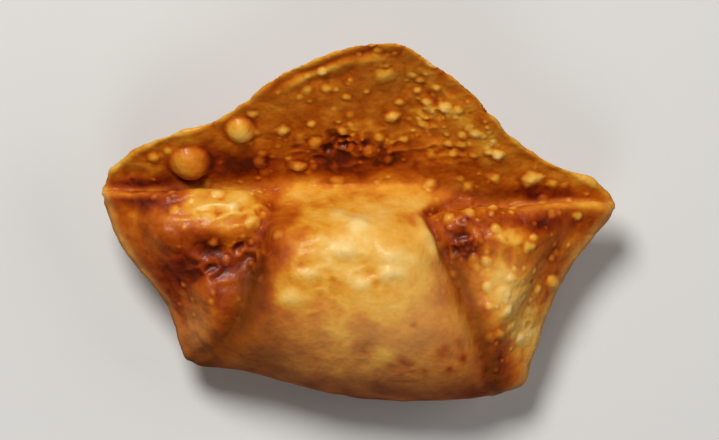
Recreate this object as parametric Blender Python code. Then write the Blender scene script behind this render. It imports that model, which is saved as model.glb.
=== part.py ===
"""Crab rangoon, fried and lying on its back.

A square wonton wrapper is folded corner to corner over a filling. That fold is the front
edge, and the two sealed layers behind the filling are the flap, which is bent up. Both side
corners are folded over the front as ears, which leaves a wing tip at each side, open towards
the flap like a beak. The filling swells the middle into a dome between the ears.

Lengths are in millimetres until they go into a mesh. X runs across the piece, Y from the
bottom fold to the apex of the flap, and Z up. The origin is under the middle of the piece.
"""

import math
import random

import bmesh
import bpy
import numpy as np
from mathutils import Vector
from mathutils.geometry import delaunay_2d_cdt

MM = 0.001

# Corners of the folded wrapper, seen from above.
TIP_LEFT = (-37.6, 30.6)
TIP_RIGHT = (38.0, 28.4)
APEX = (4.4, 53.4)
CORNER_LEFT = (-23.8, 4.6)
CORNER_RIGHT = (24.4, 0.6)
EAR_END_LEFT = (-12.4, 29.8)
EAR_END_RIGHT = (9.6, 29.4)
EAR_FOOT_RIGHT = (19.4, 0.0)

# Two fried layers, sealed: their thickness, and that of an ear.
WRAPPER = 2.2
EAR = 2.1
FOLD = 4.5
FOLD_PROUD = 0.45

# The sealed sheet: its height at the bottom fold, its lean, and the bend up into the flap.
SEAM_HEIGHT = 7.0
LEAN = 0.08
HINGE_Y = 29.6
HINGE_SOFTNESS = 1.7
FLAP_SLOPE = 0.86
FLAP_DENT = 1.5

# The filling: how far it swells the front under the ears, the dome between them, and the back.
SHOULDER = 6.2
DOME = 6.8
BACK = 8.0

# How far an ear's raw edge stands clear of the sheet below it, the beak's opening.
BEAK = 1.7

# Mesh spacing of the front, of the ears and of the back.
FRONT_STEP = 1.3
EAR_STEP = 1.15
BACK_STEP = 2.1
OUTLINE_STEP = 1.15

# Air blisters in the fried wrapper, as x, y, diameter and height.
FLAP_BLISTERS = (
    (-24.3, 33.7, 6.0, 2.3),
    (-17.3, 38.4, 4.6, 1.9),
    (-9.0, 33.5, 2.9, 1.1),
    (-10.9, 38.5, 2.8, 0.9),
    (2.6, 49.2, 3.4, 0.9),
    (-5.8, 46.4, 2.8, 0.8),
    (4.6, 40.3, 3.0, 0.9),
    (12.0, 41.4, 3.4, 0.8),
    (24.9, 31.8, 3.0, 1.2),
    (19.7, 34.7, 2.8, 1.0),
)
LEFT_EAR_BLISTERS = (
    (-17.0, 27.0, 5.4, 1.0),
    (-22.6, 25.6, 3.6, 0.7),
    (-14.8, 23.2, 3.0, 0.9),
    (-26.0, 15.2, 3.4, 0.5),
    (-21.6, 9.0, 3.2, 0.5),
)
RIGHT_EAR_BLISTERS = (
    (13.0, 26.6, 3.0, 0.9),
    (14.6, 22.6, 3.2, 1.0),
    (20.0, 24.6, 3.4, 0.8),
    (19.6, 18.6, 4.2, 0.8),
    (23.0, 14.2, 3.4, 0.8),
    (27.6, 16.4, 3.2, 0.9),
    (21.6, 8.4, 3.0, 0.6),
)
BACK_BLISTERS = 26
BLISTER_SEED = 11


def smooth(t):
    """0 up to t = 0 and 1 from t = 1, with an S-curve between."""
    t = np.clip(t, 0.0, 1.0)
    return t * t * (3.0 - 2.0 * t)


def rounded(distance, radius):
    """A quarter circle's rise from 0 at an edge to 1 at one radius in from it."""
    t = np.clip(distance / radius, 0.0, 1.0)
    return np.sqrt(1.0 - (1.0 - t) ** 2)


def bump(x, y, centre, across, along):
    """A round swelling of height 1."""
    return np.exp(-(((x - centre[0]) / across) ** 2) - ((y - centre[1]) / along) ** 2)


def edge(start, end, bow, wave=0.0, turns=2.0, phase=0.0, count=40):
    """Points along an edge that bows to the right of its run, and waves."""
    t = np.linspace(0.0, 1.0, count)
    start = np.array(start)
    run = np.array(end) - start
    right = np.array((run[1], -run[0])) / math.hypot(*run)
    out = bow * 4.0 * t * (1.0 - t)
    out += wave * np.sin(2.0 * math.pi * turns * (t - phase)) * np.sin(math.pi * t) ** 0.5
    return start + t[:, None] * run + out[:, None] * right


def shifted(line, out):
    """The chain moved this far to the right of its run."""
    run = np.gradient(line, axis=0)
    return line + out * np.column_stack((run[:, 1], -run[:, 0])) / np.hypot(*run.T)[:, None]


def distance_to(line, x, y):
    """The shortest way from each point to a chain of straight stretches."""
    start = line[:-1]
    run = line[1:] - start
    from_x = x[:, None] - start[:, 0]
    from_y = y[:, None] - start[:, 1]
    length = np.maximum((run**2).sum(axis=1), 1e-9)
    t = np.clip((from_x * run[:, 0] + from_y * run[:, 1]) / length, 0.0, 1.0)
    return np.hypot(from_x - t * run[:, 0], from_y - t * run[:, 1]).min(axis=1)


BOTTOM_FOLD = edge(CORNER_LEFT, CORNER_RIGHT, 2.0, wave=1.1, turns=1.0, phase=0.5)
CREASE_RIGHT = edge(CORNER_RIGHT, TIP_RIGHT, -1.7)
RIM_RIGHT = edge(TIP_RIGHT, APEX, -0.8, wave=-1.2, turns=1.4, phase=0.2)
RIM_LEFT = edge(APEX, TIP_LEFT, 0.3, wave=0.9, turns=1.8, phase=0.14)
CREASE_LEFT = edge(TIP_LEFT, CORNER_LEFT, -0.3, wave=0.7, turns=1.0)
INNER_LEFT = edge(CORNER_LEFT, EAR_END_LEFT, 3.3)
INNER_RIGHT = edge(EAR_FOOT_RIGHT, EAR_END_RIGHT, 0.8)
RAW_LEFT = edge(EAR_END_LEFT, TIP_LEFT, -0.2, wave=0.3, turns=1.5)
RAW_RIGHT = edge(TIP_RIGHT, EAR_END_RIGHT, -0.9, wave=0.3, turns=1.5)


def closed_outline(edges, step, passes):
    """The edges as one closed chain of even points, its corners rounded by averaging."""
    corners = np.concatenate([line[:-1] for line in edges])
    loop = np.vstack((corners, corners[:1]))
    along = np.concatenate(([0.0], np.cumsum(np.hypot(*np.diff(loop, axis=0).T))))
    places = np.linspace(0.0, along[-1], round(along[-1] / step), endpoint=False)
    loop = np.column_stack([np.interp(places, along, loop[:, axis]) for axis in (0, 1)])
    for _ in range(passes):
        loop = (np.roll(loop, 1, axis=0) + 2.0 * loop + np.roll(loop, -1, axis=0)) / 4.0
    return loop


def moved_in(outline, inset):
    """The outline moved inwards, without the points that a sharp corner crowds together."""
    run = np.roll(outline, -1, axis=0) - np.roll(outline, 1, axis=0)
    inward = np.column_stack((-run[:, 1], run[:, 0])) / np.hypot(*run.T)[:, None]
    inner = outline + inset * inward
    loop = np.vstack((outline, outline[:1]))
    return inner[distance_to(loop, inner[:, 0], inner[:, 1]) > 0.96 * abs(inset)]


def inside(outline, x, y):
    """Which points the outline goes round, by counting the edges that they cross."""
    odd = np.zeros(len(x), bool)
    for (ax, ay), (bx, by) in zip(outline, np.roll(outline, -1, axis=0)):
        if ay != by:
            odd ^= ((ay > y) != (by > y)) & (x < ax + (y - ay) * (bx - ax) / (by - ay))
    return odd


def plan_points(outline, step, insets, blisters):
    """The outline, rings just inside it, rings round each blister and an even lattice."""
    loop = np.vstack((outline, outline[:1]))
    parts = [moved_in(outline, inset) for inset in insets]
    rings = []
    for x, y, diameter, _ in blisters:
        for share in (0.0, 0.45, 0.8, 1.12):
            count = max(1, round(share * math.pi * diameter / (0.8 * step)))
            turn = 2.0 * math.pi * (np.arange(count) + share) / count
            radius = share * diameter / 2.0
            rings.append(np.column_stack((x + radius * np.cos(turn), y + radius * np.sin(turn))))
    if rings:
        rings = np.concatenate(rings)
        clear = distance_to(loop, rings[:, 0], rings[:, 1]) > insets[-1] + 0.3 * step
        parts.append(rings[clear & inside(outline, rings[:, 0], rings[:, 1])])
    low = outline.min(axis=0)
    high = outline.max(axis=0)
    row = step * math.sqrt(3.0) / 2.0
    lattice = [
        (low[0] + step * (column + 0.5 * (line % 2)), low[1] + row * line)
        for line in range(math.ceil((high[1] - low[1]) / row) + 1)
        for column in range(math.ceil((high[0] - low[0]) / step) + 1)
    ]
    lattice = np.array(lattice)
    x, y = lattice.T
    keep = inside(outline, x, y)
    keep &= distance_to(loop, x, y) > insets[-1] + 0.55 * step
    for bx, by, diameter, _ in blisters:
        keep &= np.hypot(x - bx, y - by) > 0.56 * diameter + 0.5 * step
    parts.append(lattice[keep])
    return np.concatenate(parts)


def triangles(outline, points):
    """The outline's plan cut into triangles that use these inner points."""
    every = [Vector(p) for p in np.concatenate((outline, points))]
    loop = list(range(len(outline)))
    found = delaunay_2d_cdt(every, [], [loop], 1, 1e-5)
    places = np.array([tuple(p) for p in found[0]])
    return places, [tuple(face) for face in found[2]]


def pillow(name, outline, front, back, steps, insets, blisters=(), back_blisters=()):
    """A closed solid over a plan outline. front and back give the height at plan points."""
    plans = []
    for step, own in zip(steps, (blisters, back_blisters)):
        plans.append(triangles(outline, plan_points(outline, step, insets, own)))
    mesh = bmesh.new()
    rim = {}
    for (places, faces), surface, turned in zip(plans, (front, back), (False, True)):
        heights = surface(places[:, 0], places[:, 1])
        verts = []
        for index, ((x, y), z) in enumerate(zip(places, heights)):
            if index < len(outline) and index in rim:
                verts.append(rim[index])
                continue
            verts.append(mesh.verts.new((x * MM, y * MM, z * MM)))
            if index < len(outline):
                rim[index] = verts[-1]
        for face in faces:
            mesh.faces.new([verts[i] for i in (reversed(face) if turned else face)])
    mesh.normal_update()
    raise_blisters(mesh, blisters, 1.0)
    raise_blisters(mesh, back_blisters, -1.0)
    data = bpy.data.meshes.new(name)
    mesh.to_mesh(data)
    mesh.free()
    solid = bpy.data.objects.new(name, data)
    bpy.context.scene.collection.objects.link(solid)
    return solid


def raise_blisters(mesh, blisters, facing):
    """Pushes out a round blister, along the surface's normal, on the side that faces this way."""
    for x, y, diameter, height in blisters:
        for vert in mesh.verts:
            reach = math.hypot(vert.co.x / MM - x, vert.co.y / MM - y) / (diameter / 2.0)
            if reach < 1.0 and vert.normal.z * facing > 0.2:
                vert.co += vert.normal * (height * MM * math.sqrt(1.0 - reach**2) ** 1.3)


def sheet(x, y):
    """The middle of the sealed sheet: nearly level, then bent up into the flap."""
    bend = FLAP_SLOPE * HINGE_SOFTNESS * np.logaddexp(0.0, (y - HINGE_Y) / HINGE_SOFTNESS)
    dent = FLAP_DENT * bump(x, y, (5.0, 43.0), 8.5, 4.2)
    ripple = 0.45 * np.sin(0.42 * x + 0.6) * smooth((y - 31.0) / 4.0)
    return SEAM_HEIGHT + LEAN * y + bend - dent + ripple


def from_creases(x, y):
    left = distance_to(CREASE_LEFT, x, y)
    right = distance_to(CREASE_RIGHT, x, y)
    return np.minimum(left, right)


def under_ears(x, y):
    """The front of the pocket as the ears cover it: the sheet, and the filling's shoulders."""
    fold = distance_to(BOTTOM_FOLD, x, y)
    swell = SHOULDER * rounded(fold, 12.0) * rounded(from_creases(x, y), 12.0)
    return sheet(x, y) + swell * (1.0 - smooth((y - 23.5) / 8.5))


def between_ears(x, y):
    """How far in from the two ears' inner edges a point of the dome is, or 0 outside them."""
    nearest = np.minimum(distance_to(INNER_LEFT, x, y), distance_to(INNER_RIGHT, x, y))
    low = np.interp(y, INNER_LEFT[:, 1], INNER_LEFT[:, 0])
    high = np.interp(y, INNER_RIGHT[:, 1], INNER_RIGHT[:, 0])
    return np.where((x > low) & (x < high), nearest, 0.0)


def body_front(x, y):
    fold = distance_to(BOTTOM_FOLD, x, y)
    dome = DOME * rounded(between_ears(x, y), 7.5) * rounded(fold, 16.0)
    dome = dome * (1.0 - smooth((y - 20.0) / 13.0))
    lip = 0.8 * bump(x, y, (9.2, 24.5), 1.3, 3.4) * (between_ears(x, y) > 0.0)
    rim = distance_to(BODY_LOOP, x, y)
    return under_ears(x, y) + dome + lip + 0.5 * WRAPPER * rounded(rim, 0.5 * WRAPPER)


def body_back(x, y):
    fold = distance_to(BOTTOM_FOLD, x, y)
    swell = BACK * rounded(fold, 14.0) * rounded(from_creases(x, y), 26.0)
    swell = swell * (1.0 - smooth((y - 22.0) / 12.0))
    rim = distance_to(BODY_LOOP, x, y)
    height = sheet(x, y) - swell - 0.5 * WRAPPER * rounded(rim, 0.5 * WRAPPER)
    return np.maximum(height, 0.0)


def ear_faces(crease, inner, raw, loop, relief):
    """The upper and the under side of one ear, as functions of the plan."""

    def sides(x, y):
        from_crease = distance_to(crease, x, y)
        from_inner = distance_to(inner, x, y)
        from_raw = distance_to(raw, x, y)
        rim = distance_to(loop, x, y)
        low = sheet(x, y) - 0.3 * FOLD
        on_crease = 1.0 - smooth((from_crease - 0.6) / 5.5)
        lift = BEAK * smooth(from_crease / 10.0) * smooth(from_inner / 5.0)
        lift = lift * (1.0 - smooth((from_raw - 1.0) / 8.0))
        rest = under_ears(x, y) + 0.5 * WRAPPER
        upper = rest + EAR + lift + relief(x, y)
        upper += on_crease * (sheet(x, y) + 0.7 * FOLD - upper)
        under = rest - 0.9
        under += on_crease * (low - under)
        free = (1.0 - smooth((from_raw - 3.5) / 4.0)) * smooth((from_crease - 2.5) / 5.0)
        free = free * smooth((from_inner - 0.5) / 4.0)
        under += free * (upper - EAR - under)
        middle = 0.5 * (upper + under)
        radius = 1.05 + 1.9 * on_crease
        share = rounded(rim, radius)
        return middle + share * (upper - middle), middle + share * (under - middle)

    return (lambda x, y: sides(x, y)[0]), (lambda x, y: sides(x, y)[1])


def left_relief(x, y):
    """A puffed ridge behind the raw edge, a blistered hollow by the dome and a fold below."""
    ridge = 0.9 * bump(x, y, (-18.5, 26.8), 6.0, 2.6)
    hollow = 1.6 * bump(x, y, (-17.4, 20.2), 4.6, 2.8)
    fold = 0.7 * bump(x, y, (-22.5, 13.5), 2.0, 6.0)
    return ridge - hollow + fold


def right_relief(x, y):
    """A blistered ridge behind the raw edge, and a puffed middle."""
    ridge = 0.6 * bump(x, y, (17.0, 26.2), 6.0, 2.0)
    puff = 0.8 * bump(x, y, (21.5, 17.5), 4.0, 5.0)
    return ridge + puff


def back_blisters():
    """Small blisters spread at random over the back and the flap's rear, none overlapping."""
    draw = random.Random(BLISTER_SEED)
    found = []
    while len(found) < BACK_BLISTERS:
        x = draw.uniform(-30.0, 30.0)
        y = draw.uniform(4.0, 49.0)
        diameter = draw.uniform(2.8, 5.0)
        spot = (np.array([x]), np.array([y]))
        room = distance_to(BODY_LOOP, *spot)[0] if inside(BODY, *spot)[0] else 0.0
        resting = body_back(*spot)[0] < 2.2
        apart = all(math.hypot(x - b[0], y - b[1]) > 0.6 * (diameter + b[2]) for b in found)
        if room > 0.5 * diameter + 1.4 and apart and not resting:
            found.append((x, y, diameter, 0.22 * diameter))
    return found


def fried_wrapper():
    """The finish: golden brown and oily."""
    material = bpy.data.materials.new("fried_wrapper")
    material.use_nodes = True
    shader = material.node_tree.nodes["Principled BSDF"]
    shader.inputs["Base Color"].default_value = (0.62, 0.33, 0.09, 1.0)
    shader.inputs["Roughness"].default_value = 0.38
    shader.inputs["Metallic"].default_value = 0.0
    material.diffuse_color = (0.62, 0.33, 0.09, 1.0)
    return material


def fused(body, ears):
    """The body and its ears as one closed solid."""
    helpers = bpy.data.collections.new("ears")
    bpy.context.scene.collection.children.link(helpers)
    for ear in ears:
        bpy.context.scene.collection.objects.unlink(ear)
        helpers.objects.link(ear)
    union = body.modifiers.new("fuse", "BOOLEAN")
    union.operation = "UNION"
    union.operand_type = "COLLECTION"
    union.collection = helpers
    union.solver = "EXACT"
    bpy.context.view_layer.objects.active = body
    body.select_set(True)
    bpy.ops.object.modifier_apply(modifier=union.name)
    for ear in ears:
        bpy.data.objects.remove(ear)
    bpy.data.collections.remove(helpers)
    return body


def centred(solid):
    """Moves the mesh so that the origin is under the middle of its box."""
    places = np.empty(3 * len(solid.data.vertices))
    solid.data.vertices.foreach_get("co", places)
    places = places.reshape(-1, 3)
    middle = 0.5 * (places.min(axis=0) + places.max(axis=0))
    middle[2] = 0.0
    solid.data.vertices.foreach_set("co", (places - middle).ravel())
    solid.data.update()


for item in list(bpy.data.objects):
    bpy.data.objects.remove(item)

BODY = closed_outline(
    (BOTTOM_FOLD, CREASE_RIGHT, RIM_RIGHT, RIM_LEFT, CREASE_LEFT), OUTLINE_STEP, 6
)
BODY_LOOP = np.vstack((BODY, BODY[:1]))

crab_rangoon = pillow(
    "crab_rangoon",
    BODY,
    body_front,
    body_back,
    (FRONT_STEP, BACK_STEP),
    (0.3, 1.0),
    FLAP_BLISTERS,
    back_blisters(),
)

EARS = {
    "left_ear": (CREASE_LEFT, INNER_LEFT, RAW_LEFT, left_relief, LEFT_EAR_BLISTERS),
    "right_ear": (CREASE_RIGHT, INNER_RIGHT, RAW_RIGHT, right_relief, RIGHT_EAR_BLISTERS),
}
folded_ears = []
for ear_name, (crease, inner, raw, relief, blisters) in EARS.items():
    fold = shifted(crease, FOLD_PROUD)
    edges = (fold, inner, raw)
    if ear_name == "right_ear":
        edges = (fold, raw, inner[::-1], edge(EAR_FOOT_RIGHT, CORNER_RIGHT, 0.0, count=8))
    plan = closed_outline(edges, OUTLINE_STEP, 3)
    plan_loop = np.vstack((plan, plan[:1]))
    upper, under = ear_faces(crease, inner, raw, plan_loop, relief)
    folded_ears.append(
        pillow(ear_name, plan, upper, under, (EAR_STEP, EAR_STEP), (0.3, 1.0), blisters)
    )

fused(crab_rangoon, folded_ears)
centred(crab_rangoon)
crab_rangoon.data.materials.clear()
crab_rangoon.data.materials.append(fried_wrapper())
crab_rangoon.data.shade_smooth()
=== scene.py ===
"""One crab rangoon, fried and lying on its back, seen from straight overhead.

It is a single folded wrapper, so it is a single piece here too. The sections follow the cook:
the folded wrapper, its filling, its two ears, the puffing and blistering in the hot oil, the
browning, and last the floor, the lights and the camera. The piece is shaped in millimetres,
with X across it, Y from the bottom fold to the flap's apex, and Z up. Its finish, the floor,
the lights and the camera are in metres.
"""

import math

import bmesh
import bpy
import numpy as np
from mathutils import Euler, Matrix, Vector
from mathutils.geometry import delaunay_2d_cdt
from mathutils.kdtree import KDTree


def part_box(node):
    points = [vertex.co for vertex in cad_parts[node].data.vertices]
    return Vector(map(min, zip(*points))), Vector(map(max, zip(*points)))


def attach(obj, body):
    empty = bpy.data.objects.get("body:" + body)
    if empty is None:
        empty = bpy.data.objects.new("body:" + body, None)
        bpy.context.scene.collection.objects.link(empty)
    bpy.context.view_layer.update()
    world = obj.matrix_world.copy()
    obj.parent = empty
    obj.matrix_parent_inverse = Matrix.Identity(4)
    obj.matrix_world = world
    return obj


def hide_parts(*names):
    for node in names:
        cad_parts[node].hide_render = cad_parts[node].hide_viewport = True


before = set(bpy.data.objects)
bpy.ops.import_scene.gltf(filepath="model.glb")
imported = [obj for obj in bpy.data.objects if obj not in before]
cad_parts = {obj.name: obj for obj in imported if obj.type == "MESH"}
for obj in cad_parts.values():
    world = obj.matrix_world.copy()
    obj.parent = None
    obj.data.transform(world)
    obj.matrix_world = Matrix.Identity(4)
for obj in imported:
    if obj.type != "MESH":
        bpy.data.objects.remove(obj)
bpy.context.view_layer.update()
node_low, node_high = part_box("crab_rangoon")


# The folded wrapper: a square of thin dough, folded corner to corner and sealed with water.
# The fold is the front edge, the two raw edges meet at the apex, and the sealed layers behind
# the filling stand up as the flap.

TIP_LEFT_TOP = (-38.0, 32.2)
TIP_LEFT_FOOT = (-37.5, 29.0)
TIP_RIGHT_TOP = (37.35, 28.7)
TIP_RIGHT_FOOT = (37.3, 26.9)
APEX_LEFT = (-4.0, 49.6)
APEX_RIGHT = (7.4, 50.7)
CORNER_LEFT = (-25.2, 3.9)
FOLD_BEND = (-14.0, 2.9)
CORNER_RIGHT = (24.0, 0.9)
WRAPPER = 2.2
THIN_EDGE = 0.55
SEAM_HEIGHT = 7.0
LEAN = 0.08
HINGE = ((-38.0, 28.4), (-20.0, 28.9), (-10.0, 29.4), (8.0, 29.6), (18.0, 27.3), (38.0, 26.8))
HINGE_SOFTNESS = 1.4
FLAP_SLOPE = 0.86
FLAP_DENT = 1.5


def smooth(t):
    """0 up to t = 0 and 1 from t = 1, with an S-curve between."""
    t = np.clip(t, 0.0, 1.0)
    return t * t * (3.0 - 2.0 * t)


def rounded(distance, radius):
    """A quarter circle's rise from 0 at an edge to 1 at one radius in from it."""
    t = np.clip(distance / radius, 0.0, 1.0)
    return np.sqrt(1.0 - (1.0 - t) ** 2)


def bump(x, y, centre, across, along):
    """A round swelling of height 1."""
    return np.exp(-(((x - centre[0]) / across) ** 2) - ((y - centre[1]) / along) ** 2)


def edge(start, end, bow, wave=0.0, turns=2.0, phase=0.0, count=40):
    """Points along an edge that bows to the right of its run, and waves."""
    t = np.linspace(0.0, 1.0, count)
    start = np.array(start)
    run = np.array(end) - start
    right = np.array((run[1], -run[0])) / math.hypot(*run)
    out = bow * 4.0 * t * (1.0 - t)
    out += wave * np.sin(2.0 * math.pi * turns * (t - phase)) * np.sin(math.pi * t) ** 0.5
    return start + t[:, None] * run + out[:, None] * right


def distance_to(line, x, y):
    """The shortest way from each point to a chain of straight stretches."""
    start = line[:-1]
    run = line[1:] - start
    length = np.maximum((run**2).sum(axis=1), 1e-9)
    nearest = np.full(len(x), 1e9)
    for (sx, sy), (rx, ry), long in zip(start, run, length):
        t = np.clip(((x - sx) * rx + (y - sy) * ry) / long, 0.0, 1.0)
        nearest = np.minimum(nearest, np.hypot(x - sx - t * rx, y - sy - t * ry))
    return nearest


def closed_outline(edges, step, passes):
    """The edges as one closed chain of even points, its corners rounded by averaging."""
    corners = np.concatenate([line[:-1] for line in edges])
    loop = np.vstack((corners, corners[:1]))
    along = np.concatenate(([0.0], np.cumsum(np.hypot(*np.diff(loop, axis=0).T))))
    places = np.linspace(0.0, along[-1], round(along[-1] / step), endpoint=False)
    loop = np.column_stack([np.interp(places, along, loop[:, axis]) for axis in (0, 1)])
    for _ in range(passes):
        loop = (np.roll(loop, 1, axis=0) + 2.0 * loop + np.roll(loop, -1, axis=0)) / 4.0
    return loop


BOTTOM_FOLD = np.vstack((
    edge(CORNER_LEFT, FOLD_BEND, -0.5, count=12),
    edge(FOLD_BEND, CORNER_RIGHT, 2.75)[1:],
))
CREASE_RIGHT = edge(CORNER_RIGHT, TIP_RIGHT_FOOT, -2.6, wave=0.1, turns=1.0)
RIM_RIGHT = edge(TIP_RIGHT_TOP, APEX_RIGHT, -1.15, wave=-1.0, turns=1.4, phase=0.22)
APEX = edge(APEX_RIGHT, APEX_LEFT, 0.8, count=18)
RIM_LEFT = edge(APEX_LEFT, TIP_LEFT_TOP, -0.05, wave=0.9, turns=1.55)
CREASE_LEFT = edge(TIP_LEFT_FOOT, CORNER_LEFT, -1.05, wave=1.25, turns=1.0)
EDGES = (BOTTOM_FOLD, CREASE_RIGHT, RIM_RIGHT, APEX, RIM_LEFT, CREASE_LEFT)

OUTLINE_STEP = 1.15
BODY = closed_outline(EDGES, OUTLINE_STEP, 6)
BODY_LOOP = np.vstack((BODY, BODY[:1]))


def past_hinge(x, y):
    """How far behind the line that the flap bends up along a point is."""
    return y - np.interp(x, *np.transpose(HINGE))


def sheet(x, y):
    """The middle of the sealed sheet: nearly level, then bent up into the flap."""
    bend = FLAP_SLOPE * HINGE_SOFTNESS * np.logaddexp(0.0, past_hinge(x, y) / HINGE_SOFTNESS)
    dent = FLAP_DENT * bump(x, y, (5.0, 43.0), 8.5, 4.2)
    ripple = 0.45 * np.sin(0.42 * x + 0.6) * smooth((y - 31.0) / 4.0)
    return SEAM_HEIGHT + LEAN * y + bend - dent + ripple


def half_thick(rim):
    """Half the two layers' thickness, this far in from the rim, where they are pressed thin."""
    edge_share = THIN_EDGE * rounded(rim, 0.7)
    return 0.5 * WRAPPER * (edge_share + (1.0 - THIN_EDGE) * smooth(rim / 6.0))


# The filling: a spoonful of soft cheese and crab under the wrapper. It swells the front into
# shoulders under the ears and a dome between them, and the back into the cushion that the
# piece lies on.

EAR_END_LEFT = (-12.4, 30.0)
EAR_END_RIGHT = (9.4, 26.4)
EAR_FOOT_RIGHT = (19.4, 0.0)
DOME_END_RIGHT = (16.5, 29.8)

# How tall the filling swells each part, how far in from the edges it is that tall, and where
# and over about what length it falls away again behind.
SHOULDER = 6.2
SHOULDER_FROM_EDGES = 12.0
SHOULDER_BEFORE_HINGE = 6.1
SHOULDER_FALL = 8.5
DOME = 6.8
DOME_FROM_EARS = 7.5
DOME_FROM_FOLD = 16.0
DOME_BEFORE_HINGE = 9.6
DOME_FALL = 13.0
BACK = 8.0
BACK_FROM_FOLD = 14.0
BACK_FROM_CREASES = 26.0
BACK_FALL_START = 22.0
BACK_FALL = 12.0

INNER_LEFT = edge(CORNER_LEFT, EAR_END_LEFT, 3.2, wave=1.2, turns=1.0)
INNER_RIGHT = edge(EAR_FOOT_RIGHT, EAR_END_RIGHT, 0.8)
DOME_RIGHT = np.vstack((INNER_RIGHT, [DOME_END_RIGHT]))


def from_creases(x, y):
    left = distance_to(CREASE_LEFT, x, y)
    right = distance_to(CREASE_RIGHT, x, y)
    return np.minimum(left, right)


def falling(t):
    """1 at t = 0, over a crest to its steepest at 0.5, and straight down to 0 from there."""
    return np.where(t < 0.5, 1.0 - smooth(t), np.maximum(1.25 - 1.5 * t, 0.0))


def under_ears(x, y):
    """The front of the pocket as the ears cover it: the sheet, and the filling's shoulders."""
    fold = distance_to(BOTTOM_FOLD, x, y)
    swell = SHOULDER * rounded(fold, SHOULDER_FROM_EDGES)
    swell = swell * rounded(from_creases(x, y), SHOULDER_FROM_EDGES)
    return sheet(x, y) + swell * falling((past_hinge(x, y) + SHOULDER_BEFORE_HINGE) / SHOULDER_FALL)


def between_ears(x, y):
    """How far in from the dome's two sides a point is, or 0 outside them.

    The sides are the ears' inner edges, and on the right also a shoulder over the ear's end.
    """
    nearest = np.minimum(distance_to(INNER_LEFT, x, y), distance_to(DOME_RIGHT, x, y))
    low = np.interp(y, INNER_LEFT[:, 1], INNER_LEFT[:, 0])
    high = np.interp(y, DOME_RIGHT[:, 1], DOME_RIGHT[:, 0])
    return np.where((x > low) & (x < high), nearest, 0.0)


def body_front(x, y):
    fold = distance_to(BOTTOM_FOLD, x, y)
    dome = DOME * rounded(between_ears(x, y), DOME_FROM_EARS) * rounded(fold, DOME_FROM_FOLD)
    dome = dome * falling((past_hinge(x, y) + DOME_BEFORE_HINGE) / DOME_FALL)
    lip = 0.8 * bump(x, y, (9.2, 24.5), 1.3, 3.4) * (between_ears(x, y) > 0.0)
    return under_ears(x, y) + dome + lip + half_thick(distance_to(BODY_LOOP, x, y))


def body_back(x, y):
    fold = distance_to(BOTTOM_FOLD, x, y)
    swell = BACK * rounded(fold, BACK_FROM_FOLD) * rounded(from_creases(x, y), BACK_FROM_CREASES)
    swell = swell * (1.0 - smooth((y - BACK_FALL_START) / BACK_FALL))
    height = sheet(x, y) - swell - half_thick(distance_to(BODY_LOOP, x, y))
    return np.maximum(height, 0.0)


def inside(outline, x, y):
    """Which points the outline goes round, by counting the edges that they cross."""
    odd = np.zeros(len(x), bool)
    for (ax, ay), (bx, by) in zip(outline, np.roll(outline, -1, axis=0)):
        if ay != by:
            odd ^= ((ay > y) != (by > y)) & (x < ax + (y - ay) * (bx - ax) / (by - ay))
    return odd


def moved_in(outline, inset):
    """The outline moved inwards, without the points that a sharp corner crowds together."""
    run = np.roll(outline, -1, axis=0) - np.roll(outline, 1, axis=0)
    inward = np.column_stack((-run[:, 1], run[:, 0])) / np.hypot(*run.T)[:, None]
    inner = outline + inset * inward
    loop = np.vstack((outline, outline[:1]))
    return inner[distance_to(loop, inner[:, 0], inner[:, 1]) > 0.96 * abs(inset)]


DOUGH_STEP = 0.62
DOUGH_INSETS = (0.2, 0.55, 1.0)


def pillow(name, outline, front, back):
    """A closed solid over a plan outline. front and back give the height at plan points."""
    loop = np.vstack((outline, outline[:1]))
    low = outline.min(axis=0)
    high = outline.max(axis=0)
    row = DOUGH_STEP * math.sqrt(3.0) / 2.0
    lines, columns = np.mgrid[0 : (high[1] - low[1]) / row, 0 : (high[0] - low[0]) / DOUGH_STEP]
    x = (low[0] + DOUGH_STEP * (columns + 0.5 * (lines % 2))).ravel()
    y = (low[1] + row * lines).ravel()
    keep = inside(outline, x, y)
    x = x[keep]
    y = y[keep]
    keep = distance_to(loop, x, y) > DOUGH_INSETS[-1] + 0.55 * DOUGH_STEP
    rings = [moved_in(outline, inset) for inset in DOUGH_INSETS]
    points = np.concatenate((outline, *rings, np.column_stack((x[keep], y[keep]))))
    found = delaunay_2d_cdt([Vector(p) for p in points], [], [range(len(outline))], 1, 1e-5)
    plan = np.array([tuple(p) for p in found[0]])
    mesh = bmesh.new()
    rim = {}
    for surface, turned in ((front, False), (back, True)):
        verts = []
        for index, ((px, py), pz) in enumerate(zip(plan, surface(*plan.T))):
            if index < len(outline) and index in rim:
                verts.append(rim[index])
                continue
            verts.append(mesh.verts.new((px, py, pz)))
            if index < len(outline):
                rim[index] = verts[-1]
        for face in found[2]:
            mesh.faces.new([verts[i] for i in (reversed(face) if turned else face)])
    data = bpy.data.meshes.new(name)
    mesh.to_mesh(data)
    mesh.free()
    solid = bpy.data.objects.new(name, data)
    bpy.context.scene.collection.objects.link(solid)
    return solid


fine_outline = closed_outline(EDGES, 0.5 * OUTLINE_STEP, 20)
rangoon = pillow("fried_crab_rangoon", fine_outline, body_front, body_back)


# The two ears: the wrapper's side corners, folded over the front and pressed on. Each is
# joined to the body along its outer crease, and its raw upper edge stands clear of the flap,
# so that the wing tip opens like a beak.

EAR = 2.1
FOLD = 4.5
FOLD_PROUD = 0.45
BEAK = 1.7

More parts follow.
